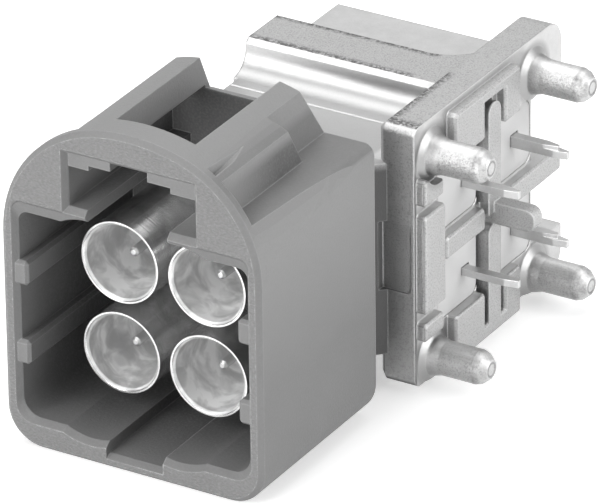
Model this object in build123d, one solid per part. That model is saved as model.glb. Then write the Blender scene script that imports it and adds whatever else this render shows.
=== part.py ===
from build123d import *
import math
import os

# Right-angle pcb connector with four coaxial ports, in millimetres.
# It is drawn in the port frame: the origin is the centre of the four port rims,
# +X points to the board, -Y is the mating direction and +Z is the latch side.
# On export it moves to the board frame, whose origin is the centre of the four
# posts in the plane where the casting sits on the board.

# Ports
port_pitch = 4.6
sleeve_outer_r = 2.03
sleeve_wall = 0.2
sleeve_seat_depth = 4.3
sleeve_rim_bevel = 0.12
pin_tip_setback = 1.16
pin_tip_r = 0.23
pin_tip_bevel = 0.11
pin_body_r = 0.42
pin_neck_y = 5.2
front_insulator_face_y = 6.0
tail_block_depth = 1.55

# Clearances between pieces that are pressed or pushed together
seat_gap = 0.02
contact_gap = 0.03
socket_gap = 0.04

# Shroud
shroud_half_width = 6.8
shroud_bottom_z = -6.66
shroud_front_y = -2.87
shroud_rear_y = 7.27
collar_depth = 0.61
collar_bevel = 0.24
bottom_corner_r = 1.8
arch_left_centre = 0.4
arch_right_centre = 1.1
arch_crown_r = 9.5
arch_top_z = 10.42
shoulder_z = 7.3
shoulder_r = 0.55
left_shoulder_r = 2.5
shoulder_flare = 0.55
bulkhead_face_y = 6.3
bulkhead_skin = 0.3
socket_depth = 0.45

# Mouth of the shroud
mouth_half_width = 6.0
mouth_top_z = 5.18
mouth_floor_z = -5.2
mouth_top_corner_r = 0.5
mouth_corner_r = 0.9
mouth_lead_depth = 0.32
mouth_lead_step = 0.24
mouth_roof_lead = 0.75
port_clear_r = 3.22
channel_left_x = -1.45
channel_right_x = 1.55
channel_floor_z = -6.0
channel_lead = 0.2
slot_left_x = -3.5
slot_right_x = 3.6
slot_top_z = 9.03
slot_ceiling_z = 8.75
shelf_left_x = -2.3
shelf_right_x = 2.0
shelf_top_z = 6.1
shelf_lead = 0.35
tooth_depth = 1.0
left_outer_tooth_x = -2.2
left_outer_tooth_z = 8.08
left_inner_tooth_x = -1.08
left_inner_tooth_z = 8.32
right_inner_tooth_x = 0.87
right_inner_tooth_z = 8.28
right_outer_tooth_x = 2.07
right_outer_tooth_z = 8.0
guide_rib_z = (2.09, -1.95)
guide_rib_height = 1.24
guide_rib_reach = 0.5
guide_rib_root = 0.05
guide_rib_setback = 0.12
guide_rib_bevel = 0.16

# Latch window and ridges on the shroud's top
window_left_x = -1.47
window_right_x = 2.65
window_front_y = -1.3
window_wall_z = 8.6
window_wall_slope = 0.44
ridge_crest_z = 9.8
ridge_stock = 0.6
ridge_left_top_x = -2.86
ridge_right_top_x = 3.57
ridge_side_slope = 0.25
ridge_rear_top_y = 6.1
ridge_rear_foot_y = 7.25
rib_top_x = 4.46
rib_inner_x = 3.75
rib_side_slope = 0.15
rib_rear_top_y = 3.15
rib_rear_foot_y = 4.25
rib_root = 0.4
groove_depth = 0.7
groove_floor_width = 0.24
groove_left_run = 0.6
groove_right_run = 0.26
groove_height = 1.6

# Casting stem
stem_left_x = -4.85
stem_right_x = 5.35
stem_half_height = 4.9
stem_rear_y = 23.45
stem_edge_bevel = 0.25
ridge_front_y = 15.4
ridge_back_y = 18.5
ridge_rise = 1.52
ridge_foot_r = 1.15
ridge_edge_bevel = 0.22
web_r = 2.1
split_line_y = 13.47
split_line_width = 0.1
split_line_depth = 0.05

# Flange of the casting
flange_front_y = 10.05
flange_rear_y = 23.85
flange_top_z = 6.9
flange_bottom_z = -6.42
flange_step_y = 19.25
flange_step_rise = 0.27
flange_front_top_r = 0.4
flange_rear_top_r = 1.25
flange_front_bottom_r = 0.5
flange_rear_bottom_r = 0.9
flange_edge_bevel = 0.3
flange_fill = 0.45
floor_x = 7.25
pad_height = 0.5
finger_root_y = 20.95
finger_top_z = 3.95
finger_bottom_z = -3.95

# Board side of the casting
near_tail_y = 14.7
far_tail_y = 19.33
tail_left_reach_near = 2.48
tail_left_reach_far = 2.06
tail_right_reach_near = 1.12
tail_right_reach_far = 1.54
insulator_inner_z = 0.7
insulator_outer_z = 3.9
insulator_face_setback = 0.05
insulator_corner_r = 0.5
tail_slot_rear = 0.45
tail_slot_depth = 0.7
cross_rib_half_height = 0.58
cross_rib_near_start_y = 12.2
cross_rib_far_end_y = 22.97
slot_start_y = 15.8
slot_floor_depth = 2.2
low_slot_floor_depth = 1.25
centre_rib_gap = 0.3
centre_rib_width = 1.12
centre_rib_side_gap = 0.05
centre_rib_top_z = 5.65
slot_head_room = 0.25
far_block_gap = 0.42
top_block_y = 13.06
top_block_bottom_z = 4.08
block_end_y = 19.15
top_block_top_z = 6.5
bottom_block_top_z = -3.85
bottom_slot_z = -5.6
bottom_edge_step = 0.05
pad_front_y = 10.2
pad_rear_y = 12.13
short_pad_rear_y = 11.95
pad_gap = 0.48
long_pad_top_z = 2.5
long_pad_bottom_z = -2.55
high_pad_top_z = 4.3
low_pad_bottom_z = -3.97
pad_post_clearance = 1.36
relief_bevel = 0.12
relief_root = 0.3
relief_corner = 0.14

# Posts and centre blade
post_r = 0.84
post_length = 3.15
post_tip_r = 0.46
post_tip_length = 0.62
post_round_r = 0.74
post_round_length = 0.3
post_flare = 0.5
post_flare_middle = 0.15
post_flare_start = 0.22
post_flare_length = 0.75
post_root = 0.5
post_near_y = 11.62
post_spacing_y = 9.52
post_top_z = 5.07
post_spacing_z = 10.35
blade_y = 16.92
blade_thickness = 0.75
blade_height = 1.08
blade_mid_z = -0.05
blade_tip_x = 9.88
blade_tip_share = 0.42

# Recessed panel on the flange's front face
panel_right_x = 7.02
panel_left_x = 5.5
panel_top_z = 1.95
panel_bottom_z = -1.55
panel_depth = 0.12
panel_corner = 0.16

# Solder tails
tail_tip_x = 10.14
tail_thickness = 0.36
tail_width = 0.48
tail_body_width = 0.8
tail_point = 0.7
tail_end_share = 0.2
tail_inner_length = 1.0
leaf_thickness = 0.2
leaf_setback = 0.5

# Rear cover
cover_thickness = 0.7
cover_left_x = -4.2
cover_right_x = 4.7
cover_half_height = 4.25
cover_corner = 0.6

# Overshoot of cuts, a thin skin over faces that would coincide, and the reach of half spaces
cut_margin = 1.0
skin = 0.01
sky = 2 * arch_top_z

port_offset = port_pitch / 2
pad_x = floor_x + pad_height
post_far_y = post_near_y + post_spacing_y
post_bottom_z = post_top_z - post_spacing_z
post_centre_y = post_near_y + post_spacing_y / 2
post_centre_z = post_top_z - post_spacing_z / 2
stem_front_y = shroud_rear_y - socket_depth
sleeve_inner_r = sleeve_outer_r - sleeve_wall
sleeve_end_y = stem_front_y + sleeve_seat_depth
insulator_face_x = floor_x - insulator_face_setback
ridge_top_z = stem_half_height + ridge_rise
centre_rib_y = slot_start_y + centre_rib_gap
slot_end_y = centre_rib_y + centre_rib_width + centre_rib_side_gap
far_block_y = slot_end_y + far_block_gap

# Ports 1 and 3 are the far column, 2 and 4 the near column.
PORTS = {
    1: (-port_offset, port_offset),
    2: (port_offset, port_offset),
    3: (-port_offset, -port_offset),
    4: (port_offset, -port_offset),
}


def block(x0, x1, y0, y1, z0, z1):
    """A box between two opposite corners."""
    return Pos(x0, y0, z0) * Box(x1 - x0, y1 - y0, z1 - z0, align=(Align.MIN, Align.MIN, Align.MIN))


def rod_y(x, z, r, y0, y1):
    """A round bar along Y."""
    bar = Cylinder(r, y1 - y0, align=(Align.CENTER, Align.CENTER, Align.MIN))
    return Pos(x, y0, z) * Rot(-90, 0, 0) * bar


def rod_x(y, z, r, x0, x1):
    """A round bar along X."""
    bar = Cylinder(r, x1 - x0, align=(Align.CENTER, Align.CENTER, Align.MIN))
    return Pos(x0, y, z) * Rot(0, 90, 0) * bar


def cone_y(x, z, r0, r1, y0, y1):
    """A tapered round bar along Y."""
    bar = Cone(r0, r1, y1 - y0, align=(Align.CENTER, Align.CENTER, Align.MIN))
    return Pos(x, y0, z) * Rot(-90, 0, 0) * bar


def cone_x(y, z, r0, r1, x0, x1):
    """A tapered round bar along X."""
    bar = Cone(r0, r1, x1 - x0, align=(Align.CENTER, Align.CENTER, Align.MIN))
    return Pos(x0, y, z) * Rot(0, 90, 0) * bar


def along_y(outline, y0, y1):
    """Extrudes an outline drawn in X and Z from y0 back to y1."""
    return extrude(Plane.XZ.offset(-y1) * outline, amount=y1 - y0)


def along_x(outline, x0, x1):
    """Extrudes an outline drawn in Y and Z from x0 to x1."""
    return extrude(Plane.YZ.offset(x0) * outline, amount=x1 - x0)


def polygon(*points):
    """A flat face with straight sides."""
    return make_face(Polyline(*points, close=True))


def round_corner(outline, x, y, radius):
    """Rounds the corner of an outline that lies nearest to a point."""
    corner = outline.vertices().sort_by_distance(Vector(x, y, 0))[0]
    return fillet([corner], radius)


# Shroud

def arch_half(side_centre, grow):
    """Half of the arched section: flat bottom, straight side, side arc and wide crown."""
    half = shroud_half_width + grow
    side_r = half - side_centre
    crown_r = arch_crown_r + grow
    crown_z = arch_top_z - arch_crown_r
    spring_z = crown_z + math.sqrt((crown_r - side_r) ** 2 - side_centre ** 2)
    lean = math.atan2(spring_z - crown_z, side_centre)
    joint = (crown_r * math.cos(lean), crown_z + crown_r * math.sin(lean))
    side_mid = (side_centre + side_r * math.cos(lean / 2), spring_z + side_r * math.sin(lean / 2))
    crown_lean = (lean + math.pi / 2) / 2
    crown_mid = (crown_r * math.cos(crown_lean), crown_z + crown_r * math.sin(crown_lean))
    bottom = shroud_bottom_z - grow
    corner_r = bottom_corner_r
    turn = corner_r * (1 - math.sqrt(0.5))
    return [
        Line((0, bottom), (half - corner_r, bottom)),
        ThreePointArc((half - corner_r, bottom), (half - turn, bottom + turn), (half, bottom + corner_r)),
        Line((half, bottom + corner_r), (half, spring_z)),
        ThreePointArc((half, spring_z), side_mid, joint),
        ThreePointArc(joint, crown_mid, (0, crown_z + crown_r)),
    ]


def arch_outline(grow=0.0):
    """The arched section, whose left side arc is wider than the right one."""
    right = arch_half(arch_right_centre, grow)
    left = [edge.mirror(Plane.YZ) for edge in arch_half(arch_left_centre, grow)]
    return make_face(Wire(right + left))


def shoulder_body():
    """The box behind the collar, whose right shoulder swells from the arch to a full corner."""
    outline = Rectangle(2 * shroud_half_width, shoulder_z - shroud_bottom_z, align=(Align.CENTER, Align.MIN))
    outline = Pos(0, shroud_bottom_z) * outline
    outline = round_corner(outline, -shroud_half_width, shroud_bottom_z, bottom_corner_r)
    outline = round_corner(outline, shroud_half_width, shroud_bottom_z, bottom_corner_r)
    outline = round_corner(outline, -shroud_half_width, shoulder_z, left_shoulder_r)
    outline = round_corner(outline, shroud_half_width, shoulder_z, shoulder_r)
    y0 = shroud_front_y + collar_depth
    box = along_y(outline, y0, shroud_rear_y)
    front = Plane.XZ.offset(-y0) * arch_outline()
    rear = Plane.XZ.offset(-shroud_rear_y) * arch_outline(shoulder_flare)
    right_half = block(0, sky, y0 - cut_margin, shroud_rear_y + cut_margin, -sky, sky)
    swelling = loft([front, rear]) & right_half
    plain = along_y(arch_outline(), y0, shroud_rear_y) - right_half
    return (box & swelling) + (box & plain)


def ridge(top_x, inner_x, slope, rear_top_y, rear_foot_y):
    """A ridge on the shroud's top with a leaning outer wall and a sloped rear end."""
    lean = math.copysign(slope, top_x)
    top_z = arch_top_z + cut_margin
    foot_z = shoulder_z - ridge_stock
    section = polygon((inner_x, foot_z), (inner_x, top_z),
                      (top_x - lean * (top_z - ridge_crest_z), top_z),
                      (top_x + lean * (ridge_crest_z - foot_z), foot_z))
    y0 = shroud_front_y + collar_depth / 2
    body = along_y(section, y0, shroud_rear_y)
    run = (rear_foot_y - rear_top_y) / (ridge_crest_z - shoulder_z)
    profile = polygon((y0, foot_z), (y0, top_z),
                      (rear_top_y - run * (top_z - ridge_crest_z), top_z),
                      (rear_foot_y + run * (shoulder_z - foot_z), foot_z))
    return body & along_x(profile, -sky, sky)


def rib_groove():
    """The groove between the right ridge and the outer rib, which fades to the rear."""
    y0 = shroud_front_y + collar_depth
    span = rib_rear_top_y - y0
    middle = (rib_inner_x + rib_top_x) / 2
    half_floor = groove_floor_width / 2
    floor_z = ridge_crest_z - groove_depth
    outline = polygon((middle - half_floor - groove_left_run, floor_z + groove_height),
                      (middle - half_floor, floor_z), (middle + half_floor, floor_z),
                      (middle + half_floor + groove_right_run, floor_z + groove_height))
    face = Plane.XZ.offset(-y0) * outline
    rise = Vector(0, span, groove_depth)
    return extrude(face, amount=rise.length, dir=rise)


def mouth_outline(y, widen=0.0, roof_rise=0.0):
    """The rounded rectangle of the mouth, at a given depth and widened by given steps."""
    half = mouth_half_width + widen
    top = mouth_top_z + roof_rise
    floor = mouth_floor_z - widen
    outline = Rectangle(2 * half, top - floor, align=(Align.CENTER, Align.MIN))
    outline = Pos(0, floor) * outline
    for side in (-1, 1):
        outline = round_corner(outline, side * half, top, mouth_top_corner_r)
        outline = round_corner(outline, side * half, floor, mouth_corner_r)
    return Plane.XZ.offset(-y) * outline


def mouth():
    """The hollow round the ports: a rounded box, four round clearances and a key channel."""
    y0 = shroud_front_y - skin
    y1 = shroud_front_y + mouth_lead_depth
    front = mouth_outline(y0, mouth_lead_step, mouth_roof_lead)
    hollow = loft([front, mouth_outline(y1)])
    hollow += extrude(mouth_outline(bulkhead_face_y), amount=bulkhead_face_y - y1)
    for x, z in PORTS.values():
        hollow += cone_y(x, z, port_clear_r + mouth_lead_step, port_clear_r, y0, y1)
        hollow += rod_y(x, z, port_clear_r, y1, bulkhead_face_y)
    ramp = polygon((y0, 0), (y0, channel_floor_z - channel_lead), (y1, channel_floor_z),
                   (bulkhead_face_y, channel_floor_z), (bulkhead_face_y, 0))
    return hollow + along_x(ramp, channel_left_x, channel_right_x)


def slot_outline(y, inset, top):
    """The latch slot above the mouth at a given depth."""
    left = slot_left_x + inset
    right = slot_right_x - inset
    bottom = shelf_top_z - shelf_lead * (1 - inset / mouth_lead_step)
    outline = polygon((left, bottom), (right, bottom), (right, top), (left, top))
    return Plane.XZ.offset(-y) * outline


def latch_slot():
    """The slot for the plug's latch, with slanted lead-in walls and a way down to the mouth."""
    y0 = shroud_front_y - skin
    y1 = shroud_front_y + mouth_lead_depth
    inner = slot_outline(y1, mouth_lead_step, slot_ceiling_z)
    slot = loft([slot_outline(y0, 0, slot_top_z), inner])
    rear = slot_outline(bulkhead_face_y, mouth_lead_step, slot_ceiling_z)
    slot += extrude(rear, amount=bulkhead_face_y - y1)
    slot += block(shelf_left_x, shelf_right_x, y0, bulkhead_face_y, 0, slot_ceiling_z)
    slot += block(window_left_x, window_right_x, window_front_y, bulkhead_face_y, shelf_top_z, sky)
    return slot


def plug_shroud():
    """The moulded shroud with its arch, ridges, latch window, mouth and bulkhead."""
    y0 = shroud_front_y
    collar = along_y(arch_outline(), y0, y0 + collar_depth)
    front_edges = collar.edges().filter_by_position(Axis.Y, y0 - skin, y0 + skin)
    collar = chamfer(front_edges, collar_bevel)
    arch = along_y(arch_outline(), y0 + collar_depth / 2, shroud_rear_y)
    band = block(ridge_left_top_x, ridge_right_top_x, y0 + collar_depth / 2, window_front_y,
                 shoulder_z - ridge_stock, sky)
    ridges = ridge(ridge_right_top_x, window_right_x, ridge_side_slope, ridge_rear_top_y, ridge_rear_foot_y)
    ridges += ridge(ridge_left_top_x, window_left_x, ridge_side_slope, ridge_rear_top_y, ridge_rear_foot_y)
    outer_rib = ridge(rib_top_x, window_right_x + rib_root, rib_side_slope, rib_rear_top_y, rib_rear_foot_y)
    top = (ridges + band + outer_rib) & arch
    top -= rib_groove()
    body = collar + shoulder_body() + top
    body -= mouth()
    body -= latch_slot()
    body += bulkhead()
    body += guide_ribs()
    body += slot_teeth()
    for x, z in PORTS.values():
        body -= rod_y(x, z, sleeve_outer_r + seat_gap, bulkhead_face_y - skin, shroud_rear_y + cut_margin)
    body -= block(stem_left_x - socket_gap, stem_right_x + socket_gap,
                  stem_front_y, shroud_rear_y + cut_margin,
                  -stem_half_height - socket_gap, stem_half_height + socket_gap)
    return body


def bulkhead():
    """The wall behind the window, whose top slopes back between the ridges."""
    slope_z = window_wall_z - window_wall_slope * (shroud_rear_y - bulkhead_face_y)
    profile = polygon((bulkhead_face_y, shelf_top_z), (bulkhead_face_y, window_wall_z),
                      (shroud_rear_y, slope_z), (shroud_rear_y, shelf_top_z))
    return along_x(profile, window_left_x - bulkhead_skin, window_right_x + bulkhead_skin)


def guide_ribs():
    """Two horizontal guide ribs on each inner side wall, which reach into the lead-in."""
    front = shroud_front_y + guide_rib_setback
    ribs = []
    for middle in guide_rib_z:
        for side in (-1, 1):
            inner = side * (mouth_half_width - guide_rib_reach)
            outer = side * (mouth_half_width + mouth_lead_step + guide_rib_root)
            low, high = sorted((inner, outer))
            rib = block(low, high, front, bulkhead_face_y,
                        middle - guide_rib_height / 2, middle + guide_rib_height / 2)
            edges = rib.edges().filter_by_position(Axis.Y, front - skin, front + skin)
            edges += rib.edges().filter_by(Axis.Y).filter_by_position(Axis.X, inner - skin, inner + skin)
            ribs.append(chamfer(edges, guide_rib_bevel))
    return ribs[0] + ribs[1] + ribs[2] + ribs[3]


def slot_teeth():
    """Coding teeth that hang from the slot's ceiling just behind the lead-in."""
    front = shroud_front_y + mouth_lead_depth
    back = front + tooth_depth
    left = slot_left_x + mouth_lead_step / 2
    right = slot_right_x - mouth_lead_step / 2
    teeth = block(left, left_outer_tooth_x, front, back, left_outer_tooth_z, slot_top_z)
    teeth += block(left_outer_tooth_x, left_inner_tooth_x, front, back, left_inner_tooth_z, slot_top_z)
    teeth += block(right_inner_tooth_x, right_outer_tooth_x, front, back, right_inner_tooth_z, slot_top_z)
    teeth += block(right_outer_tooth_x, right, front, back, right_outer_tooth_z, slot_top_z)
    return teeth


# Contacts and insulators

def column(x):
    """Where the tail of a port stands, and how far its insulator reaches to both sides."""
    if x > 0:
        return near_tail_y, tail_left_reach_near, tail_right_reach_near
    return far_tail_y, tail_left_reach_far, tail_right_reach_far


def outer_contact(number):
    """The thin tube of one port, bevelled inside its rim."""
    x, z = PORTS[number]
    tube = rod_y(x, z, sleeve_outer_r, 0, sleeve_end_y)
    tube -= rod_y(x, z, sleeve_inner_r, -cut_margin, sleeve_end_y + cut_margin)
    rim = tube.edges().filter_by(GeomType.CIRCLE).filter_by_position(Axis.Y, -skin, skin)
    return chamfer(rim.sort_by(SortBy.LENGTH)[:1], sleeve_rim_bevel)


def leaf_edge(x, z):
    """The upper side of a tail: the far tails carry a second leaf."""
    if x > 0:
        return z + tail_thickness / 2
    return z + tail_thickness / 2 + leaf_thickness


def contact_leg(number, grow=0.0):
    """The round leg along the port and the flat leg down to the board."""
    x, z = PORTS[number]
    tail_y = column(x)[0]
    leg = rod_y(x, z, pin_body_r + grow, pin_neck_y, tail_y)
    half_width = tail_body_width / 2 + grow
    half_thickness = pin_body_r + grow
    body_end = insulator_face_x - tail_inner_length
    leg += block(x - half_thickness, body_end, tail_y - half_width, tail_y + half_width,
                 z - half_thickness, z + half_thickness)
    tail_half = tail_width / 2 + grow
    leg += block(body_end - skin, insulator_face_x + skin, tail_y - tail_half, tail_y + tail_half,
                 z - tail_thickness / 2 - grow, leaf_edge(x, z) + grow)
    return leg


def tail_outline(tail_y, tip_x):
    """A flat tail with a tapered point."""
    half = tail_width / 2
    end = tail_width * tail_end_share
    return polygon((insulator_face_x, tail_y - half), (tip_x - tail_point, tail_y - half),
                   (tip_x, tail_y - end), (tip_x, tail_y + end),
                   (tip_x - tail_point, tail_y + half), (insulator_face_x, tail_y + half))


def inner_contact(number):
    """The pin of one port, bent through a right angle, with a pointed solder tail."""
    x, z = PORTS[number]
    tail_y = column(x)[0]
    tip = rod_y(x, z, pin_tip_r, pin_tip_setback, pin_neck_y)
    end = tip.edges().filter_by_position(Axis.Y, pin_tip_setback - skin, pin_tip_setback + skin)
    tip = chamfer(end, pin_tip_bevel)
    bottom = z - tail_thickness / 2
    tail = extrude(Plane.XY.offset(bottom) * tail_outline(tail_y, tail_tip_x), amount=tail_thickness)
    if x < 0:
        leaf = tail_outline(tail_y, tail_tip_x - leaf_setback)
        tail += extrude(Plane.XY.offset(bottom) * leaf, amount=tail_thickness + leaf_thickness)
    return tip + contact_leg(number) + tail


def front_insulator(number):
    """The sleeve that centres the pin between the outer contact and the tail block."""
    x, z = PORTS[number]
    tail_y, left_reach, right_reach = column(x)
    sleeve = rod_y(x, z, sleeve_inner_r - seat_gap, front_insulator_face_y, tail_y - left_reach)
    return sleeve - contact_leg(number, contact_gap)


def tail_block(number, grow=0.0):
    """The block round the tail: rounded rear corners, its face level with the casting floor."""
    x, z = PORTS[number]
    tail_y, left_reach, right_reach = column(x)
    side = math.copysign(1, z)
    low, high = sorted((side * (insulator_inner_z - grow), side * (insulator_outer_z + grow)))
    front = tail_y - left_reach - grow
    rear = tail_y + right_reach + grow
    outline = polygon((front, low), (rear, low), (rear, high), (front, high))
    outline = round_corner(outline, rear, low, insulator_corner_r + grow)
    outline = round_corner(outline, rear, high, insulator_corner_r + grow)
    return along_x(outline, x - tail_block_depth - grow, insulator_face_x)


def tail_insulator(number):
    """The tail block with the slot that its pin passes through."""
    x, z = PORTS[number]
    tail_y = column(x)[0]
    slot = block(insulator_face_x - tail_slot_depth, insulator_face_x + cut_margin,
                 tail_y, tail_y + tail_slot_rear,
                 z - tail_thickness / 2 - contact_gap, leaf_edge(x, z) + contact_gap)
    return tail_block(number) - contact_leg(number, contact_gap) - slot


# Casting

def post(y, z):
    """One solder post: a flared foot, a straight shaft and a rounded tip."""
    end = floor_x + post_length
    shoulder = end - post_tip_length
    middle = shoulder + post_round_length
    flare_x = floor_x + post_flare_start
    shaft = rod_x(y, z, post_r, floor_x - post_root, shoulder)
    shaft += cone_x(y, z, post_r, post_round_r, shoulder, middle)
    shaft += cone_x(y, z, post_round_r, post_tip_r, middle, end)
    flare = cone_x(y, z, post_r + post_flare_middle, post_r, flare_x, floor_x + post_flare_length)
    flare += cone_x(y, z, post_r + post_flare, post_r + post_flare_middle, floor_x - skin, flare_x)
    return shaft + (flare & along_x(flange_outline(), floor_x - cut_margin, floor_x + cut_margin))


def flange_outline():
    """The outline of the flange seen from the board, with a step in its lower edge."""
    step_z = flange_bottom_z + flange_step_rise
    outline = polygon((flange_front_y, flange_bottom_z), (flange_step_y, flange_bottom_z),
                      (flange_step_y + flange_step_rise / 2, step_z), (flange_rear_y, step_z),
                      (flange_rear_y, flange_top_z), (flange_front_y, flange_top_z))
    outline = round_corner(outline, flange_front_y, flange_bottom_z, flange_front_bottom_r)
    outline = round_corner(outline, flange_rear_y, step_z, flange_rear_bottom_r)
    outline = round_corner(outline, flange_rear_y, flange_top_z, flange_rear_top_r)
    return round_corner(outline, flange_front_y, flange_top_z, flange_front_top_r)


def flange_plate():
    """The thick plate that faces the board, open between its two rear fingers."""
    plate = along_x(flange_outline(), stem_right_x, floor_x)
    outer = plate.edges().filter_by_position(Axis.X, stem_right_x - skin, stem_right_x + skin)
    plate = chamfer(outer, flange_edge_bevel)
    left = stem_right_x - cut_margin
    right = floor_x + cut_margin
    rear = flange_rear_y + cut_margin
    gap_top = block(left, right, finger_root_y, rear, cross_rib_half_height, finger_top_z)
    gap_bottom = block(left, right, finger_root_y, rear, finger_bottom_z, -cross_rib_half_height)
    half_rib = cross_rib_half_height + skin
    end = block(left, right, cross_rib_far_end_y, rear, -half_rib, half_rib)
    return plate - gap_top - gap_bottom - end


def flange_fillet():
    """The slanted fill in the corner between the stem's side and the flange's front face."""
    x = stem_right_x + flange_fill
    y = flange_front_y - flange_fill
    root = flange_edge_bevel + skin
    outline = polygon((stem_right_x - root, y), (stem_right_x, y), (x, flange_front_y),
                      (x, flange_front_y + root), (stem_right_x - root, flange_front_y + root))
    body = Plane.XY.offset(-stem_half_height) * outline
    return extrude(body, amount=2 * stem_half_height)


def relief(y0, y1, z0, z1):
    """A raised field of the board side with cut corners and a bevelled edge."""
    outline = polygon((y0, z0), (y1, z0), (y1, z1), (y0, z1))
    outline = chamfer(outline.vertices(), relief_corner)
    body = along_x(outline, floor_x - relief_root, pad_x)
    top = body.faces().sort_by(Axis.X)[-1]
    return chamfer(top.edges(), relief_bevel)


def raised_fields():
    """Pads, blocks and cross ribs, all level with the seating plane."""
    low_edge = flange_bottom_z + bottom_edge_step
    bridge_y = (slot_start_y - far_block_gap, far_block_y + far_block_gap)
    half_rib = cross_rib_half_height
    upper = relief(top_block_y, slot_start_y, top_block_bottom_z, top_block_top_z)
    upper += relief(far_block_y, block_end_y, top_block_bottom_z, top_block_top_z)
    upper += relief(bridge_y[0], bridge_y[1], centre_rib_top_z + slot_head_room, top_block_top_z)
    lower = relief(top_block_y, slot_start_y, low_edge, bottom_block_top_z)
    lower += relief(far_block_y, block_end_y, low_edge, bottom_block_top_z)
    lower += relief(bridge_y[0], bridge_y[1], low_edge, bottom_slot_z)
    ribs = relief(cross_rib_near_start_y, slot_start_y, -half_rib, half_rib)
    ribs += relief(slot_end_y, cross_rib_far_end_y, -half_rib, half_rib)
    pads = relief(pad_front_y, pad_rear_y, long_pad_bottom_z, long_pad_top_z)
    pads += relief(pad_front_y, short_pad_rear_y, long_pad_top_z + pad_gap, high_pad_top_z)
    pads += relief(pad_front_y, short_pad_rear_y, low_pad_bottom_z, long_pad_bottom_z - pad_gap)
    for z in (post_top_z, post_bottom_z):
        pads -= rod_x(post_near_y, z, pad_post_clearance, floor_x, pad_x + cut_margin)
    return upper + lower + ribs + pads


def centre_rib(z_low, z_high, depth):
    """A rib in the centre slot with a round top, rooted below the slot's floor."""
    y0 = centre_rib_y
    y1 = centre_rib_y + centre_rib_width
    z_arc = z_high - centre_rib_width / 2
    path = [
        Line((y0, z_arc), (y0, z_low)),
        Line((y0, z_low), (y1, z_low)),
        Line((y1, z_low), (y1, z_arc)),
        ThreePointArc((y1, z_arc), ((y0 + y1) / 2, z_high), (y0, z_arc)),
    ]
    return along_x(make_face(Wire(path)), floor_x - depth - relief_root, pad_x)


def centre_blade():
    """The flat blade between the cross ribs, rounded at its tip."""
    y0 = blade_y - blade_thickness / 2
    blade = block(floor_x - low_slot_floor_depth - relief_root, blade_tip_x, y0, y0 + blade_thickness,
                  blade_mid_z - blade_height / 2, blade_mid_z + blade_height / 2)
    tip = blade.edges().filter_by(Axis.Y).filter_by_position(Axis.X, blade_tip_x - skin, blade_tip_x + skin)
    return fillet(tip, blade_height * blade_tip_share)


def stem_ridge():
    """The raised rib across the stem's top, with a hollow foot and a web to the flange."""
    bottom = stem_half_height - relief_root
    foot_y = ridge_front_y - ridge_foot_r
    arc_z = stem_half_height + ridge_foot_r
    right = stem_right_x + flange_edge_bevel + skin
    profile = polygon((foot_y, bottom), (foot_y, stem_half_height), (ridge_front_y, arc_z),
                      (ridge_front_y, ridge_top_z), (ridge_back_y, ridge_top_z), (ridge_back_y, bottom))
    rib = along_x(profile, stem_left_x, right)
    rib -= rod_x(foot_y, arc_z, ridge_foot_r, stem_left_x - cut_margin, right)
    web = block(stem_right_x - web_r, right, ridge_back_y - relief_root, ridge_back_y + web_r,
                bottom, ridge_top_z)
    web -= Pos(stem_right_x - web_r, ridge_back_y + web_r, 0) * Cylinder(web_r, sky)
    rib += web
    crest = rib.edges().filter_by(Axis.X).filter_by_position(Axis.Z, ridge_top_z - skin, ridge_top_z + skin)
    return chamfer(crest, ridge_edge_bevel)


def stem():
    """The square block that carries the four angled bores."""
    body = block(stem_left_x, stem_right_x, stem_front_y, stem_rear_y, -stem_half_height, stem_half_height)
    left = body.edges().filter_by(Axis.Y).filter_by_position(Axis.X, stem_left_x - skin, stem_left_x + skin)
    body = chamfer(left, stem_edge_bevel)
    split = block(stem_left_x - cut_margin, stem_right_x, split_line_y, split_line_y + split_line_width,
                  stem_half_height - split_line_depth, stem_half_height + cut_margin)
    return body - split


def port_bore(number):
    """The angled passage of one port: sleeve seat, straight bore and tail pocket."""
    x, z = PORTS[number]
    tail_y, left_reach, right_reach = column(x)
    seat = rod_y(x, z, sleeve_outer_r + seat_gap, stem_front_y - cut_margin, sleeve_end_y + seat_gap)
    bore = rod_y(x, z, sleeve_inner_r, sleeve_end_y, tail_y - left_reach)
    pocket = tail_block(number, seat_gap)
    opening = tail_block(number, seat_gap).moved(Location((pad_height + cut_margin, 0, 0)))
    return seat + bore + pocket + opening


def front_panel():
    """The shallow bare recess on the flange's front face."""
    outline = polygon((panel_left_x, panel_bottom_z), (panel_right_x, panel_bottom_z),
                      (panel_right_x, panel_top_z), (panel_left_x, panel_top_z))
    outline = chamfer(outline.vertices().sort_by(Axis.X)[-2:], panel_corner)
    return along_y(outline, flange_front_y - flange_fill, flange_front_y + panel_depth)


def cover_recess(grow):
    """The seat of the rear cover, or the cover itself when nothing is added."""
    outline = polygon((cover_left_x - grow, -cover_half_height - grow),
                      (cover_right_x + grow, -cover_half_height - grow),
                      (cover_right_x + grow, cover_half_height + grow),
                      (cover_left_x - grow, cover_half_height + grow))
    outline = chamfer(outline.vertices(), cover_corner)
    return along_y(outline, stem_rear_y - cover_thickness, stem_rear_y)


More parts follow.
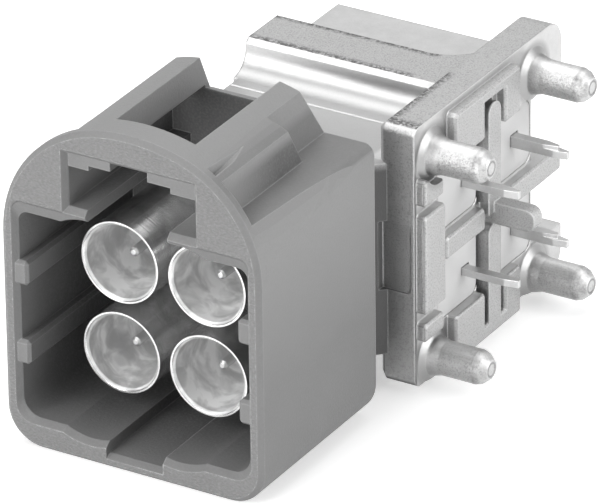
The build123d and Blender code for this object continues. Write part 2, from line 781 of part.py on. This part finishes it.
def shield_body():
    """The zinc casting: stem, ridge, flange, pads, ribs, posts and blade in one piece."""
    body = stem() + stem_ridge() + flange_plate() + flange_fillet() + raised_fields()
    slot_open = pad_x + cut_margin
    body -= block(floor_x - slot_floor_depth, slot_open, slot_start_y, slot_end_y,
                  cross_rib_half_height, centre_rib_top_z + slot_head_room)
    body -= block(floor_x - low_slot_floor_depth, slot_open, slot_start_y, slot_end_y,
                  bottom_slot_z, -cross_rib_half_height)
    for number in PORTS:
        body -= port_bore(number)
    body += centre_rib(0, centre_rib_top_z, slot_floor_depth)
    body += centre_rib(bottom_slot_z - relief_root, -cross_rib_half_height, low_slot_floor_depth)
    body += centre_blade()
    for y in (post_near_y, post_far_y):
        for z in (post_top_z, post_bottom_z):
            body += post(y, z)
    body -= front_panel()
    body -= cover_recess(seat_gap)
    return body


def rear_cover():
    """The smooth plate pressed into the casting's rear face."""
    return cover_recess(0.0)


def export(name, solid):
    """Moves a piece to the board frame and writes its file."""
    placed = Pos(-pad_x, -post_centre_y, -post_centre_z) * solid
    export_step(placed, "parts/" + name + ".step")
    return placed


def build():
    os.makedirs("parts", exist_ok=True)
    pieces = {
        "plug_shroud": plug_shroud(),
        "shield_body": shield_body(),
        "rear_cover": rear_cover(),
    }
    for number in PORTS:
        label = str(number)
        pieces["outer_contact_" + label] = outer_contact(number)
        pieces["inner_contact_" + label] = inner_contact(number)
        pieces["front_insulator_" + label] = front_insulator(number)
        pieces["tail_insulator_" + label] = tail_insulator(number)
    for name, solid in pieces.items():
        placed = export(name, solid)
        print(name, "solids", len(placed.solids()), "volume", round(placed.volume, 2))


build()
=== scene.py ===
"""Right-angle pcb connector with four coaxial ports: its finishes, stage and camera."""

import math

import bpy
from mathutils import Matrix, Vector


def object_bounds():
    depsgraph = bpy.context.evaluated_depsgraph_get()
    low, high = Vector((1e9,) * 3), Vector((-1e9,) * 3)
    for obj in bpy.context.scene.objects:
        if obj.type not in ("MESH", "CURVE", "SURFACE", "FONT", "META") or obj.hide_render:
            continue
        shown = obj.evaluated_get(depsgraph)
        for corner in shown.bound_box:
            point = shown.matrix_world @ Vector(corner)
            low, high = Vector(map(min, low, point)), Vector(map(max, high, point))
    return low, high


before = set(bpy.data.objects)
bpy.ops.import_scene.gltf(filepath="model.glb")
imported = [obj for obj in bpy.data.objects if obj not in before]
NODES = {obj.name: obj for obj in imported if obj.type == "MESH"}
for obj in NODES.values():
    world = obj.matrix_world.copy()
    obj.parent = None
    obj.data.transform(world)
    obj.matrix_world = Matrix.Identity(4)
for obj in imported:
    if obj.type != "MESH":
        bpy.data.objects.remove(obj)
FIRST_BOX = [list(corner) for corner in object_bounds()]

bl_info = {
    "name": "Right-angle pcb connector",
    "version": (1, 0, 0),
    "blender": (4, 5, 0),
    "location": "View3D > Sidebar > Connector",
    "description": "Finishes, stage and camera of a four-port right-angle connector",
    "category": "Object",
}

MM = 0.001
PORT_NUMBERS = (1, 2, 3, 4)

X, Y, Z = 0, 1, 2

# Steps in millimetres from the middle to the post axes in Y and Z, and to the port axes in X and Z.
POST_OFFSET = (4.76, 5.175)
PORT_OFFSET = (2.3, 2.3)

# Centre of the four port rims, where the camera was measured from, in millimetres in the row frame.
PORT_CENTRE_MM = (-7.75, -16.38, 0.105)
PORT_CENTRE = Vector(PORT_CENTRE_MM) * MM

# Places where a finish starts or ends, in millimetres in the row frame.
FRONT_FACE_Y = -19.21
MOUTH_HALF_X = 6.2
MOUTH_TOP_Z = 8.5
WINDOW_SHELF_Z = 6.5
MOUTH_SHADE_Y = -18.6
CROWN_Z = 9.2
SIDE_LIFT_Z = -1.0
PAD_X = -0.15
FLANGE_X = -3.0
CREST_Z = 6.2
CREST_LEFT_X = -4.0
HOLLOW_TOP_Z = 5.6
HOLLOW_REAR_Y = 0.0
FLOORWARD_Z = -6.0
SHADED_X = -3.2
SHADED_Y = -6.2
SHADED_TOP_Z = 4.6
POST_FOOT_X = -0.7
POST_RADIUS = 0.95
TUBE_INNER_RADIUS = 1.86

# Screen greys that follow no setting.
FRONT_EDGE_HIGHLIGHT_GREY = 240
POST_MARK_GREY = 86
CAST_EDGE_HIGHLIGHT_GREY = 232
RIM_SPECKLE_AND_SHADE_GREY = 84
COVER_EDGE_HIGHLIGHT_GREY = 238
INNER_SWIRL_GREY = 170
PIN_UNDERSIDE_SHADE_GREY = 110
PIN_EDGE_HIGHLIGHT_GREY = 250
INSULATOR_EDGE_HIGHLIGHT_GREY = 236
SEEN_FLOOR_GREY = 250
FLOOR_GLOW_GREY = 172

BEVEL_SAMPLES = 6

# Lamps: name, place from the target in millimetres and width in metres.
LAMPS = (
    ("key", (-90, -260, 150), 0.22),
    ("front", (30, -300, 20), 0.12),
    ("top", (-60, 60, 280), 0.3),
    ("side", (280, 60, 90), 0.25),
)


# Shader expressions

class Wire:
    """A value socket that builds Math nodes from Python expressions."""

    def __init__(self, tree, socket):
        self.tree = tree
        self.socket = socket

    def _math(self, operation, *values, clamp=False):
        node = self.tree.nodes.new("ShaderNodeMath")
        node.operation = operation
        node.use_clamp = clamp
        for index, value in enumerate(values):
            if isinstance(value, Wire):
                self.tree.links.new(value.socket, node.inputs[index])
            else:
                node.inputs[index].default_value = value
        return Wire(self.tree, node.outputs[0])

    def __add__(self, other):
        return self._math("ADD", self, other)

    __radd__ = __add__

    def __sub__(self, other):
        return self._math("SUBTRACT", self, other)

    def __rsub__(self, other):
        return self._math("SUBTRACT", other, self)

    def __mul__(self, other):
        return self._math("MULTIPLY", self, other)

    def __truediv__(self, other):
        return self._math("DIVIDE", self, other)

    def __pow__(self, other):
        return self._math("POWER", self, other)

    def clamped(self):
        return self._math("ADD", self, 0.0, clamp=True)

    def magnitude(self):
        return self._math("ABSOLUTE", self)

    def above(self, level, softness):
        """0 below the level, 1 above it, with a straight ramp between."""
        return ((self - level) / softness).clamped()


class Paint:
    """One material under construction."""

    def __init__(self, name):
        self.material = bpy.data.materials.new(name)
        self.material.use_nodes = True
        self.tree = self.material.node_tree
        self.tree.nodes.clear()
        self.output = self.tree.nodes.new("ShaderNodeOutputMaterial")
        self.shader = self.tree.nodes.new("ShaderNodeBsdfPrincipled")
        self.tree.links.new(self.shader.outputs[0], self.output.inputs["Surface"])

    def node(self, kind, settings=None, inputs=None, output=0):
        """Adds a node: its settings first, then the values or links of its sockets."""
        node = self.tree.nodes.new(kind)
        for key, value in (settings or {}).items():
            if key == "stops":
                self._stops(node, value)
            else:
                setattr(node, key, value)
        for key, value in (inputs or {}).items():
            self.plug(node.inputs[key], value)
        return Wire(self.tree, node.outputs[output])

    def _stops(self, node, stops):
        ramp = node.color_ramp
        while len(ramp.elements) < len(stops):
            ramp.elements.new(0.5)
        for element, (place, grey) in zip(ramp.elements, stops):
            element.position = place
            element.color = (grey, grey, grey, 1.0)

    def plug(self, socket, value):
        if isinstance(value, Wire):
            self.tree.links.new(value.socket, socket)
        else:
            socket.default_value = value

    def set(self, **inputs):
        """Sets or links sockets of the main shader, named with underscores."""
        for key, value in inputs.items():
            self.plug(self.shader.inputs[key.replace("_", " ")], value)

    def place(self):
        """Object coordinates."""
        return self.node("ShaderNodeTexCoord", output="Object")

    def stretched(self, scale):
        """Object coordinates with a scale for each axis."""
        return self.node("ShaderNodeMapping", None, {"Vector": self.place(), "Scale": scale})

    def noise(self, grain_mm, detail=2.0, roughness=0.5, place=None, output="Fac"):
        """Noise whose features are about grain_mm wide."""
        return self.node("ShaderNodeTexNoise", None, {
            "Vector": place or self.place(),
            "Scale": 1.0 / (grain_mm * MM),
            "Detail": detail,
            "Roughness": roughness,
        }, output)

    def facing(self, axis):
        """The component of the true normal along an axis, 0 for X, 1 for Y, 2 for Z."""
        normal = self.node("ShaderNodeNewGeometry", output="True Normal")
        return self.node("ShaderNodeSeparateXYZ", None, {"Vector": normal}, axis)

    def forward(self):
        """The component of the true normal towards the plug, along minus Y."""
        return self.facing(Y) * -1.0

    def position(self, axis):
        """Object coordinate along an axis in metres."""
        return self.node("ShaderNodeSeparateXYZ", None, {"Vector": self.place()}, axis)

    def beyond(self, axis, place_mm, ramp_mm):
        """0 up to a place along an axis, 1 from the end of a ramp behind it."""
        return self.position(axis).above(place_mm * MM, ramp_mm * MM)

    def rounded_normal(self, radius_mm):
        """The normal with edges rounded by a radius."""
        return self.node("ShaderNodeBevel", {"samples": BEVEL_SAMPLES}, {"Radius": radius_mm * MM})

    def edges(self, radius_mm):
        """0 on flat ground, up to 1 along convex or hollow edges, from a rounded normal."""
        rounded = self.rounded_normal(radius_mm)
        normal = self.node("ShaderNodeNewGeometry", output="Normal")
        dot = self.node("ShaderNodeVectorMath", {"operation": "DOT_PRODUCT"},
                        {0: rounded, 1: normal}, "Value")
        return ((1.0 - dot) * 4.0).clamped()

    def radius(self, axes, centre_mm, offset_mm):
        """Distance to the nearest of four axes, which lie at plus and minus the offsets from a centre."""
        parts = [(self.position(axis) - middle * MM).magnitude() - step * MM
                 for axis, middle, step in zip(axes, centre_mm, offset_mm)]
        return (parts[0] * parts[0] + parts[1] * parts[1]) ** 0.5

    def band(self, value, centre_mm, half_mm):
        """1 in the middle of a narrow band of a length, 0 outside it."""
        return (1.0 - (value - centre_mm * MM).magnitude() / (half_mm * MM)).clamped()

    def mix(self, factor, first, second):
        """Mixes two colours or greys."""
        node = self.tree.nodes.new("ShaderNodeMix")
        node.data_type = "RGBA"
        self.plug(node.inputs["Factor"], factor)
        self.plug(node.inputs["A"], colour(first))
        self.plug(node.inputs["B"], colour(second))
        return Wire(self.tree, node.outputs["Result"])

    def bump(self, height, depth_mm, under=None):
        """A normal raised by a height, on top of another normal where one is given."""
        inputs = {"Height": height, "Distance": depth_mm * MM, "Strength": 1.0}
        if under is not None:
            inputs["Normal"] = under
        return self.node("ShaderNodeBump", None, inputs)


def linear(level):
    """A screen grey from 0 to 255 as a linear value."""
    value = level / 255.0
    if value <= 0.04045:
        return value / 12.92
    return ((value + 0.055) / 1.055) ** 2.4


def colour(value):
    """A screen grey, a colour or a link as a colour input."""
    if isinstance(value, (int, float)):
        grey = linear(value)
        return (grey, grey, grey, 1.0)
    return value


# Materials

def front_face(paint):
    """The shroud's front face."""
    return paint.forward().above(0.8, 0.1) * (1.0 - paint.beyond(Y, FRONT_FACE_Y, 0.03))


def painted_side_light(paint):
    """Painted light on the shroud's right side, stronger towards its top."""
    return paint.facing(X).above(0.8, 0.15) * (0.1 + paint.beyond(Z, SIDE_LIFT_Z, 6.5) * 0.9)


def painted_mouth_shade(paint):
    """Painted shade inside the mouth, stronger with depth, but not on the shelf of the latch window."""
    across = (paint.position(X) - PORT_CENTRE_MM[X] * MM).magnitude()
    inside = 1.0 - across.above(MOUTH_HALF_X * MM, 0.2 * MM)
    below = 1.0 - paint.beyond(Z, MOUTH_TOP_Z, 0.5)
    shelf = paint.beyond(Z, WINDOW_SHELF_Z, 0.2) * paint.facing(Z).above(0.2, 0.1)
    return inside * below * (1.0 - shelf) * paint.beyond(Y, MOUTH_SHADE_Y, 4.5)


def shroud_plastic(settings):
    """Grey moulded plastic: coarse grain in front, painted highlights on the edges with a ragged one round
    the front, painted light on the side and crown, painted shade in the mouth.
    """
    paint = Paint("shroud_plastic")
    base = settings.plastic_grey
    cloud = paint.noise(2.4, 2.0)
    fine = paint.noise(0.12, 3.0, 0.6)
    coarse = paint.noise(0.11, 3.0, 0.6, paint.stretched((0.7, 1.0, 1.25)))
    ragged = paint.noise(0.35, 3.0, 0.7)
    grained = front_face(paint)
    edge = paint.edges(settings.edge_radius * 1.3)
    # Mask for painted light on the crown's upward faces.
    painted_crown_light = paint.facing(Z).above(0.8, 0.1) * paint.beyond(Z, CROWN_Z, 0.2)
    body = paint.mix(cloud, base - 6, base + 5)
    # Painted light on the right side, stronger towards its top.
    body = paint.mix(painted_side_light(paint), body, base + 22)
    # Painted shade inside the mouth, deeper further in.
    body = paint.mix(painted_mouth_shade(paint) * 0.8, body, base - 48)
    # Painted light on the top of the crown.
    body = paint.mix(painted_crown_light * 0.6, body, base + 30)
    body = paint.mix(fine.above(0.45, 0.3) * 0.4, body, base + 12)
    body = paint.mix(coarse.above(0.42, 0.3) * grained * 0.5, body, base + 34)
    # Painted highlights along the edges, and a ragged painted highlight along the edges of the front face.
    body = paint.mix(edge * (0.35 + coarse * 0.5), body, base + 62)
    body = paint.mix(edge * grained * ragged.above(0.5, 0.08) * 0.8, body, FRONT_EDGE_HIGHLIGHT_GREY)
    soft = paint.rounded_normal(settings.edge_radius)
    relief = fine * (1.0 - grained) * 0.35 + coarse * grained * 1.8
    roughness = 0.5 + cloud * 0.08 - edge * 0.12 - grained * 0.06
    paint.set(Base_Color=body, Roughness=roughness, Specular_IOR_Level=0.45,
              Normal=paint.bump(relief, 0.055, soft))
    return paint.material


def post_distance(paint):
    """Distance to the nearest post axis."""
    return paint.radius((Y, Z), (0.0, 0.0), POST_OFFSET)


def post_marks(paint):
    """Dark marks on the posts: blotches toward the tip, a ring where it starts and one on its face."""
    along = paint.position(X)
    radius = post_distance(paint)
    near_post = 1.0 - radius.above(1.0 * MM, 0.05 * MM)
    collar = paint.band(along, 2.08, 0.16)
    ring = paint.band(radius, 0.33, 0.09) * along.above(2.58 * MM, 0.02 * MM)
    blotches = paint.noise(0.4, 4.0, 0.7).above(0.52, 0.1) * along.above(0.9 * MM, 1.4 * MM)
    return (collar * 0.5 + ring + blotches * 0.4) * near_post


def painted_post_foot_shade(paint):
    """Painted shade in the smooth flares round the feet of the posts."""
    radius = post_distance(paint)
    ring = radius.above(0.7 * MM, 0.1 * MM) * (1.0 - radius.above(1.4 * MM, 0.3 * MM))
    return ring * paint.beyond(X, POST_FOOT_X, 0.05) * (1.0 - paint.beyond(X, 0.0, 0.4))


def painted_corner_shade(paint):
    """Painted shade on the casting's side next to the flange's front, where the shroud keeps it in shade.
    """
    right = paint.beyond(X, SHADED_X, 0.3)
    ahead = 1.0 - paint.beyond(Y, SHADED_Y, 0.1)
    low = 1.0 - paint.beyond(Z, SHADED_TOP_Z, 0.6)
    return right * ahead * low * (1.0 - paint.forward().above(0.85, 0.1))


def rim_speckle_and_shade(paint):
    """Narrow bands along the edges of the crest and of the flange's top, for dark speckle that is partly
    the casting's grain and partly painted shade.
    """
    across, along = paint.position(X), paint.position(Y)
    on_stem = 1.0 - across.above(CREST_LEFT_X * MM, 0.3 * MM)
    rib = (paint.band(along, -0.7, 0.42) + paint.band(along, 1.9, 0.36)) * on_stem
    front = paint.band(across, -2.1, 0.45) * (1.0 - along.above(-0.5 * MM, 0.3 * MM))
    corner = paint.band(along, -5.9, 0.5)
    return ((rib + front + corner) * 1.5).clamped()


def painted_stem_shade(paint):
    """Painted shade on the stem's top ahead of its rib, without upright faces."""
    hollow = (1.0 - paint.beyond(Z, HOLLOW_TOP_Z, 0.7)) * (1.0 - paint.beyond(Y, HOLLOW_REAR_Y, 0.5))
    upright = paint.facing(X).magnitude().above(0.4, 0.2)
    return hollow * (1.0 - upright)


def cast_zinc(settings):
    """Pale zinc casting: dark specks on pads, crest and front, smooth hollows; painted light on the stem's
    forward faces, painted shade on the stem's top, the flange's front, the corner beside it and the post
    feet, and painted highlights on the edges.
    """
    paint = Paint("cast_zinc")
    base = settings.zinc_grey
    sand = paint.noise(0.085, 3.0, 0.65)
    blotch = paint.noise(0.9, 3.0, 0.6)
    ragged = paint.noise(0.2, 4.0, 0.7)
    edge = paint.edges(settings.edge_radius * 1.5)
    raised = paint.beyond(X, PAD_X, 0.05)
    post = 1.0 - post_distance(paint).above(POST_RADIUS * MM, 0.05 * MM)
    crest = paint.facing(Z).above(0.85, 0.1) * paint.beyond(Z, CREST_Z, 0.1)
    outer = paint.beyond(X, FLANGE_X, 0.2)
    front = paint.forward().above(0.55, 0.3) * outer
    sandy = (raised * (1.0 - post * 0.7) + crest * 0.9 + front * 0.8).clamped() * 0.85 + 0.15
    shade_toward_floor = 1.0 - paint.beyond(Z, FLOORWARD_Z, 9.0)
    shade = painted_corner_shade(paint)
    body = paint.mix(blotch, base - 10, base + 14)
    # Painted light on the stem's faces that turn forward.
    body = paint.mix(paint.forward().above(0.3, 0.6) * (1.0 - outer), body, base + 10)
    # Painted shade on the stem's top ahead of its rib.
    body = paint.mix(painted_stem_shade(paint) * (1.0 - outer) * 0.85, body, base - 26)
    body = paint.mix(raised * (1.0 - post) * 0.7, body, base - 24)
    body = paint.mix(crest * (0.4 + blotch * 0.4), body, base - 42)
    body = paint.mix(sand.above(0.5, 0.14) * sandy * 0.5, body, base - 75)
    # Painted shade on the flange's forward faces, deeper towards the floor.
    body = paint.mix(front * (0.15 + shade_toward_floor * 0.4), body, base - 64)
    # Painted shade on the corner beside the flange's front, which is also made less metallic.
    body = paint.mix(shade * 0.9, body, base - 112)
    # Painted shade in the flares round the post feet.
    body = paint.mix(painted_post_foot_shade(paint) * 0.85, body, base - 40)
    body = paint.mix(post_marks(paint) * 0.7, body, POST_MARK_GREY)
    # Painted highlights along the casting's edges.
    body = paint.mix(edge * (1.0 - crest) * (0.3 + blotch * 0.3), body, CAST_EDGE_HIGHLIGHT_GREY)
    # Dark speckle on the rims: partly grain, partly painted shade on the rounded edges.
    body = paint.mix(rim_speckle_and_shade(paint) * crest * ragged.above(0.4, 0.14) * 0.9, body, RIM_SPECKLE_AND_SHADE_GREY)
    soft = paint.rounded_normal(settings.edge_radius * 1.4)
    height = sand * sandy * 0.7 + blotch * 0.3
    roughness = 0.38 + sand * sandy * 0.22 - edge * 0.1
    paint.set(Base_Color=body, Metallic=1.0 - shade, Roughness=roughness,
              Normal=paint.bump(height, 0.05, soft))
    return paint.material


def cover_metal(settings):
    """The smooth rear cover, with painted highlights on the edges."""
    paint = Paint("cover_metal")
    base = settings.zinc_grey - 4
    sand = paint.noise(0.3, 2.0)
    blotch = paint.noise(2.0, 2.0)
    edge = paint.edges(settings.edge_radius * 1.6)
    body = paint.mix(blotch, base - 5, base + 6)
    # Painted highlights along the cover's edges.
    body = paint.mix(edge * 0.5, body, COVER_EDGE_HIGHLIGHT_GREY)
    paint.set(Base_Color=body, Metallic=1.0, Roughness=0.34 + sand * 0.1,
              Normal=paint.bump(sand, 0.01, paint.rounded_normal(settings.edge_radius)))
    return paint.material


def contact_tube(settings):
    """Bright plated tube: swirled darker patches inside, faint rings of turning outside."""
    paint = Paint("contact_tube")
    rings = paint.noise(0.5, 2.0, 0.6, paint.stretched((0.2, 6.0, 0.2)))
    drift = paint.noise(1.6, 1.0, 0.5)
    smear = paint.noise(1.5, 1.0, output="Color")
    reach = (1.6 * MM, 1.6 * MM, 1.6 * MM)
    smeared = paint.node("ShaderNodeVectorMath", {"operation": "MULTIPLY_ADD"},
                         {0: smear, 1: reach, 2: paint.place()})
    swirl = paint.noise(1.3, 3.0, 0.55, smeared)
    radius = paint.radius((X, Z), (PORT_CENTRE_MM[X], PORT_CENTRE_MM[Z]), PORT_OFFSET)
    inner = 1.0 - radius.above(TUBE_INNER_RADIUS * MM, 0.06 * MM)
    body = paint.mix(swirl.above(0.4, 0.2), settings.tube_grey - 24, settings.tube_grey + 6)
    # Darker swirled patches inside the tube.
    body = paint.mix(inner * (1.0 - swirl.above(0.3, 0.3)) * 0.6, body, INNER_SWIRL_GREY)
    roughness = 0.14 + rings * 0.1 + drift * 0.08 + inner * (0.3 + swirl * 0.2)
    paint.set(Base_Color=body, Metallic=0.85 - inner * 0.75, Roughness=roughness,
              Normal=paint.bump(rings, 0.006))
    return paint.material


def contact_pin(settings):
    """Plated pin and tail, satin, with painted highlights on the edges and painted shade on the underside.
    """
    paint = Paint("contact_pin")
    grain = paint.noise(0.12, 3.0, 0.6)
    edge = paint.edges(0.05)
    under = (paint.facing(Z) * -1.0).above(0.2, 0.5)
    body = paint.mix(grain, settings.pin_grey - 14, settings.pin_grey + 8)
    # Painted shade on the pin's underside.
    body = paint.mix(under * 0.8, body, PIN_UNDERSIDE_SHADE_GREY)
    # Painted highlights along the pin's edges, stronger on top.
    body = paint.mix(edge * (0.5 + paint.facing(Z) * 0.4), body, PIN_EDGE_HIGHLIGHT_GREY)
    paint.set(Base_Color=body, Metallic=0.9, Roughness=0.26 + grain * 0.16,
              Normal=paint.bump(grain, 0.008, paint.rounded_normal(0.04)))
    return paint.material


def insulator_plastic(settings):
    """Smooth pale insulating plastic, with painted highlights on the edges."""
    paint = Paint("insulator_plastic")
    cloud = paint.noise(1.6, 2.0)
    fine = paint.noise(0.1, 2.0)
    edge = paint.edges(0.06)
    body = paint.mix(cloud, settings.insulator_grey - 4, settings.insulator_grey + 4)
    # Painted highlights along the insulator's edges.
    body = paint.mix(edge * 0.4, body, INSULATOR_EDGE_HIGHLIGHT_GREY)
    paint.set(Base_Color=body, Roughness=0.42 + cloud * 0.08,
              Normal=paint.bump(fine, 0.006, paint.rounded_normal(0.05)))
    return paint.material


def dress(name, material):
    """Gives a CAD node its finish."""
    node = NODES[name]
    if not node.material_slots:
        node.data.materials.append(material)
    for slot in node.material_slots:
        slot.material = material


# Settings

class ConnectorSettings(bpy.types.PropertyGroup):
    """Colours and sizes that a user may change. Greys are screen levels from 0 to 255."""

    plastic_grey: bpy.props.FloatProperty(
        name="Plastic grey", description="Screen grey of the shroud", default=120, min=0, max=255)
    zinc_grey: bpy.props.FloatProperty(
        name="Zinc grey", description="Screen grey of the casting", default=194, min=0, max=255)
    tube_grey: bpy.props.FloatProperty(
        name="Tube grey", description="Screen grey of the plated tubes", default=244, min=0, max=255)
    pin_grey: bpy.props.FloatProperty(
        name="Pin grey", description="Screen grey of the pins and tails", default=208, min=0, max=255)
    insulator_grey: bpy.props.FloatProperty(
        name="Insulator grey", description="Screen grey of the insulators", default=214, min=0, max=255)
    edge_radius: bpy.props.FloatProperty(
        name="Edge radius", description="Softness of the small edges, in millimetres", default=0.09, min=0)


class StageSettings(bpy.types.PropertyGroup):
    """The floor, the lights and the camera."""

    floor_grey: bpy.props.FloatProperty(
        name="Floor grey", description="Screen grey of the floor under the lights",
        default=222, min=0, max=255)
    key_power: bpy.props.FloatProperty(
        name="Key power", description="Power of the raised front light in watts", default=0.7, min=0)
    front_power: bpy.props.FloatProperty(
        name="Front power", description="Power of the low front light in watts", default=0.46, min=0)
    top_power: bpy.props.FloatProperty(
        name="Top power", description="Power of the overhead light in watts", default=0.62, min=0)
    side_power: bpy.props.FloatProperty(
        name="Side power", description="Power of the right-hand light in watts", default=0.66, min=0)
    world_strength: bpy.props.FloatProperty(
        name="World strength", description="Strength of the even light from all round", default=0.14, min=0)


# Operators

class CONNECTOR_OT_shroud(bpy.types.Operator):
    """Finishes the moulded shroud"""

    bl_idname = "connector.shroud"
    bl_label = "Shroud"

    def execute(self, context):
        dress("plug_shroud", shroud_plastic(context.scene.connector_settings))
        return {"FINISHED"}


class CONNECTOR_OT_casting(bpy.types.Operator):
    """Finishes the zinc casting and its rear cover"""

    bl_idname = "connector.casting"
    bl_label = "Casting"

    def execute(self, context):
        settings = context.scene.connector_settings
        dress("shield_body", cast_zinc(settings))
        dress("rear_cover", cover_metal(settings))
        return {"FINISHED"}


class CONNECTOR_OT_contacts(bpy.types.Operator):
    """Finishes the tubes and the bent pins"""

    bl_idname = "connector.contacts"
    bl_label = "Contacts"

    def execute(self, context):
        settings = context.scene.connector_settings
        tube = contact_tube(settings)
        pin = contact_pin(settings)
        for number in PORT_NUMBERS:
            dress("outer_contact_%d" % number, tube)
            dress("inner_contact_%d" % number, pin)
        return {"FINISHED"}


class CONNECTOR_OT_insulators(bpy.types.Operator):
    """Finishes the insulators in the ports and at the board side"""

    bl_idname = "connector.insulators"
    bl_label = "Insulators"

    def execute(self, context):
        pale = insulator_plastic(context.scene.connector_settings)
        for number in PORT_NUMBERS:
            dress("front_insulator_%d" % number, pale)
            dress("tail_insulator_%d" % number, pale)
        return {"FINISHED"}


def area_light(name, place, target, size, power):
    """A square soft light that looks at a point."""
    data = bpy.data.lights.new(name, "AREA")
    data.shape = "SQUARE"
    data.size = size
    data.energy = power
    light = bpy.data.objects.new(name, data)
    light.location = place
    light.rotation_euler = (target - place).to_track_quat("-Z", "Y").to_euler()
    bpy.context.scene.collection.objects.link(light)


def seen_directly(tree):
    """1 for rays of the camera, of mirrors and of glass, 0 for those that carry soft light."""
    path = tree.nodes.new("ShaderNodeLightPath")
    camera = Wire(tree, path.outputs["Is Camera Ray"])
    glossy = Wire(tree, path.outputs["Is Glossy Ray"])
    through = Wire(tree, path.outputs["Is Transmission Ray"])
    return (camera + glossy + through).clamped()


def floor_material(grey):
    """Pale ground that is white to the camera and to reflections, and keeps the shadow."""
    paint = Paint("floor")
    direct = seen_directly(paint.tree)
    paint.set(Base_Color=paint.mix(direct, grey, SEEN_FLOOR_GREY), Roughness=0.9, Specular_IOR_Level=0.0,
              Emission_Color=paint.mix(direct, 0, FLOOR_GLOW_GREY), Emission_Strength=1.0)
    return paint.material


def build_floor(settings, ground):
    """A wide flat floor under the object."""
    reach = 2.0
    mesh = bpy.data.meshes.new("floor")
    directions = ((-1, -1), (1, -1), (1, 1), (-1, 1))
    corners = [(reach * x, reach * y, ground) for x, y in directions]
    mesh.from_pydata(corners, [], [(0, 1, 2, 3)])
    floor = bpy.data.objects.new("floor", mesh)
    bpy.context.scene.collection.objects.link(floor)
    mesh.materials.append(floor_material(settings.floor_grey))


def build_world(strength):
    """White to the camera, an even soft light for everything else."""
    world = bpy.data.worlds.new("studio")
    bpy.context.scene.world = world
    world.use_nodes = True
    tree = world.node_tree
    tree.nodes.clear()
    background = tree.nodes.new("ShaderNodeBackground")
    output = tree.nodes.new("ShaderNodeOutputWorld")
    level = seen_directly(tree) * (1.0 - strength) + strength
    tree.links.new(level.socket, background.inputs["Strength"])
    tree.links.new(background.outputs[0], output.inputs["Surface"])


def build_camera():
    """The photograph's camera, in radians and millimetres, solved from edges, port circles and tips."""
    azimuth, elevation, roll = 0.5406118, 0.4781114, -0.0129748
    across, upward, distance = -6.129706, -3.044625, 355.175522
    focal_pixels = 7873.0417
    image_width = 600
    back = Vector((math.sin(azimuth) * math.cos(elevation), -math.cos(azimuth) * math.cos(elevation),
                   math.sin(elevation)))
    level_right = Vector((0, 0, 1)).cross(back).normalized()
    level_up = back.cross(level_right)
    right = level_right * math.cos(roll) + level_up * math.sin(roll)
    up = level_up * math.cos(roll) - level_right * math.sin(roll)
    place = (back * distance - right * across - up * upward) * MM + PORT_CENTRE
    data = bpy.data.cameras.new("camera")
    data.sensor_fit = "HORIZONTAL"
    data.sensor_width = 36.0
    data.lens = focal_pixels / image_width * data.sensor_width
    data.clip_start = 0.01
    data.clip_end = 10.0
    camera = bpy.data.objects.new("camera", data)
    camera.matrix_world = Matrix.Translation(place) @ Matrix((right, up, back)).transposed().to_4x4()
    bpy.context.scene.collection.objects.link(camera)
    bpy.context.scene.camera = camera


class CONNECTOR_OT_stage(bpy.types.Operator):
    """Builds the floor, the lights and the camera"""

    bl_idname = "connector.stage"
    bl_label = "Stage"

    def execute(self, context):
        settings = context.scene.connector_stage
        context.scene.view_settings.view_transform = "Standard"
        build_floor(settings, FIRST_BOX[0][2])
        build_world(settings.world_strength)
        target = PORT_CENTRE + Vector((0, 10, 0)) * MM
        for name, offset, size in LAMPS:
            power = getattr(settings, name + "_power")
            area_light(name, target + Vector(offset) * MM, target, size, power)
        build_camera()
        return {"FINISHED"}


class CONNECTOR_PT_panel(bpy.types.Panel):
    """Lists the connector's pieces"""

    bl_label = "Connector"
    bl_idname = "CONNECTOR_PT_panel"
    bl_space_type = "VIEW_3D"
    bl_region_type = "UI"
    bl_category = "Connector"

    def draw(self, context):
        layout = self.layout
        for name in STEPS:
            layout.operator(name)


STEPS = ("connector.shroud", "connector.casting", "connector.contacts", "connector.insulators",
         "connector.stage")

CLASSES = (ConnectorSettings, StageSettings, CONNECTOR_OT_shroud, CONNECTOR_OT_casting,
           CONNECTOR_OT_contacts, CONNECTOR_OT_insulators, CONNECTOR_OT_stage, CONNECTOR_PT_panel)


def register():
    for item in CLASSES:
        bpy.utils.register_class(item)
    bpy.types.Scene.connector_settings = bpy.props.PointerProperty(type=ConnectorSettings)
    bpy.types.Scene.connector_stage = bpy.props.PointerProperty(type=StageSettings)


def unregister():
    del bpy.types.Scene.connector_stage
    del bpy.types.Scene.connector_settings
    for item in reversed(CLASSES):
        bpy.utils.unregister_class(item)


def main():
    register()
    bpy.ops.connector.shroud()
    bpy.ops.connector.casting()
    bpy.ops.connector.contacts()
    bpy.ops.connector.insulators()
    bpy.ops.connector.stage()


if __name__ == "__main__":
    main()
